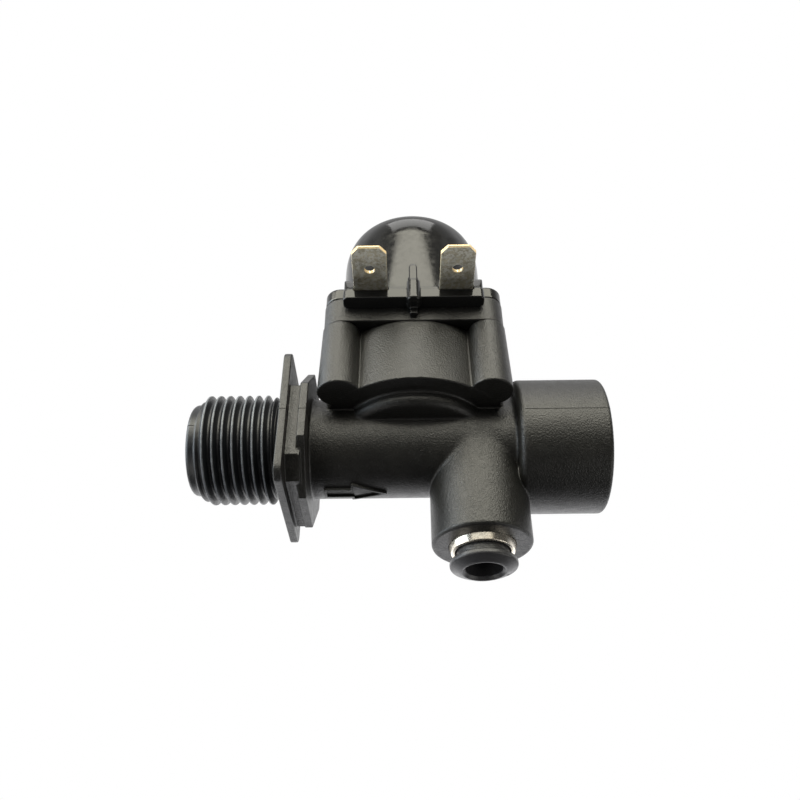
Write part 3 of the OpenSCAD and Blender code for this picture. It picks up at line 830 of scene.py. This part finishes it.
def build_world():
    """White to the camera; a dim room and a pale sheet to everything else."""
    world = bpy.data.worlds.new("studio")
    scene.world = world
    world.use_nodes = True
    net = Nodes(world.node_tree)
    backdrop = net.node("Background", {0: (1, 1, 1, 1), 1: 1.0}).outputs[0]
    direction = net.node("TexCoord").outputs["Generated"]
    height = net.node("SeparateXYZ", {0: direction}).outputs[2]
    # room brightening from floor to ceiling
    room = net.ramp(net.remap(height, (-1, 1)), 0.0, 1.0, (0.012, 0.012, 0.012),
                    (0.2, 0.198, 0.19), [(place, (v, v * 0.985, v * 0.94)) for place, v in
                                         ((0.42, 0.02), (0.55, 0.07), (0.75, 0.18))])
    # the pale sheet behind the valve, brightest low down
    facing = net.node("VectorMath", {0: direction, 1: (0.0, 0.809, 0.5875)},
                      operation="DOT_PRODUCT").outputs["Value"]
    sheet = net.ramp(facing, 0.0, 1.0, (0.02, 0.02, 0.02), WHITE,
                     [(place, (v, v, v * 1.02)) for place, v in
                      ((0.1, 0.14), (0.35, 0.42), (0.5, 0.8))])
    sheet = net.mix(1.0, sheet, net.remap(height, (-0.5, 0.8), (2.4, 0.75)), "MULTIPLY")
    colour = net.mix(1.0, room, sheet, "LIGHTEN")
    studio = net.node("Background", {0: colour, 1: 1.0}).outputs[0]
    camera_ray = net.node("LightPath").outputs["Is Camera Ray"]
    shader = net.node("MixShader", {0: camera_ray, 1: studio, 2: backdrop})
    net.node("OutputWorld", {0: shader.outputs[0]})


build_floor()
build_world()

CENTRE_X = AXIS_X * MM
# name, place (x from the coil axis, y, z), aim (y, z), (width, height), watts, colour
LIGHTS = [
    ("panel_front", (-0.008, -0.3795, 0.269), (-0.0143, 0.045), (0.75, 0.302), 3.68,
     (1.0, 0.97, 0.83)),
    ("panel_front_low", (-0.04, -0.43, 0.02), (-0.01, 0.0), (0.6, 0.2), 0.33, (1.0, 0.97, 0.88)),
    ("panel_front_left", (-0.385, -0.225, 0.26), (-0.01, 0.0), (0.28, 0.26), 0.95,
     (1.0, 0.97, 0.86)),
    ("panel_top", (0, -0.09, 0.6), (0, 0.0), (0.9, 0.4), 0.2, (1.0, 0.99, 0.97)),
    ("strip_top", (0, -0.225, 0.55), (-0.01, 0.045), (0.42, 0.22), 0.75, (1.0, 0.99, 0.97)),
    ("window_left", (-0.5, -0.08, 0.1), (0, 0.0), (0.44, 0.5), 2.9, (0.82, 0.92, 1.0)),
    ("panel_right", (0.5, 0.15, 0.25), (0, 0.0), (0.3, 0.3), 0.15, (1.0, 0.98, 0.95)),
    ("under_left", (-0.36, -0.05, -0.32), (-0.02, 0.02), (0.3, 0.3), 0.42, (1.0, 0.98, 0.94)),
    ("under_right", (0.36, -0.05, -0.32), (-0.02, 0.02), (0.3, 0.3), 0.42, (1.0, 0.98, 0.94)),
]
for name, (x, y, z), aim, size, watts, colour in LIGHTS:
    light = bpy.data.lights.new(name, "AREA")
    light.shape = "RECTANGLE"
    light.size, light.size_y = size
    light.energy = watts
    light.color = colour
    lamp = bpy.data.objects.new(name, light)
    scene.collection.objects.link(lamp)
    lamp.location = (CENTRE_X + x, y, z)
    look = Vector((CENTRE_X, *aim)) - Vector((CENTRE_X + x, y, z))
    lamp.rotation_euler = look.to_track_quat("-Z", "Y").to_euler()

# Camera: below the valve and on its -Y side, looking up
ELEVATION, YAW, ROLL = math.radians(35.98), math.radians(0.37), math.radians(0.46)
DISTANCE = 151.19                  # mm
OFF_RIGHT, OFF_UP = 2.92, -9.26    # mm, the axes' crossing from the middle of the view
SENSOR, LENS = 36, 35.4474         # mm


def build_camera():
    forward = Vector((-math.sin(YAW) * math.cos(ELEVATION),
                      math.cos(YAW) * math.cos(ELEVATION), math.sin(ELEVATION)))
    level = Vector((math.cos(YAW), math.sin(YAW), 0))
    upright = level.cross(forward)
    right = level * math.cos(ROLL) - upright * math.sin(ROLL)
    up = level * math.sin(ROLL) + upright * math.cos(ROLL)
    place = (-OFF_RIGHT * right - OFF_UP * up - DISTANCE * forward) * MM
    place += Vector((CENTRE_X, 0, 0))
    data = bpy.data.cameras.new("camera")
    data.sensor_width = SENSOR
    data.lens = LENS
    data.clip_start = 0.005
    camera = bpy.data.objects.new("camera", data)
    scene.collection.objects.link(camera)
    rows = [(right[i], up[i], -forward[i], place[i]) for i in range(3)]
    camera.matrix_world = Matrix((*rows, (0, 0, 0, 1)))
    scene.camera = camera


build_camera()
scene.view_settings.view_transform = "Standard"
scene.view_settings.look = "None"
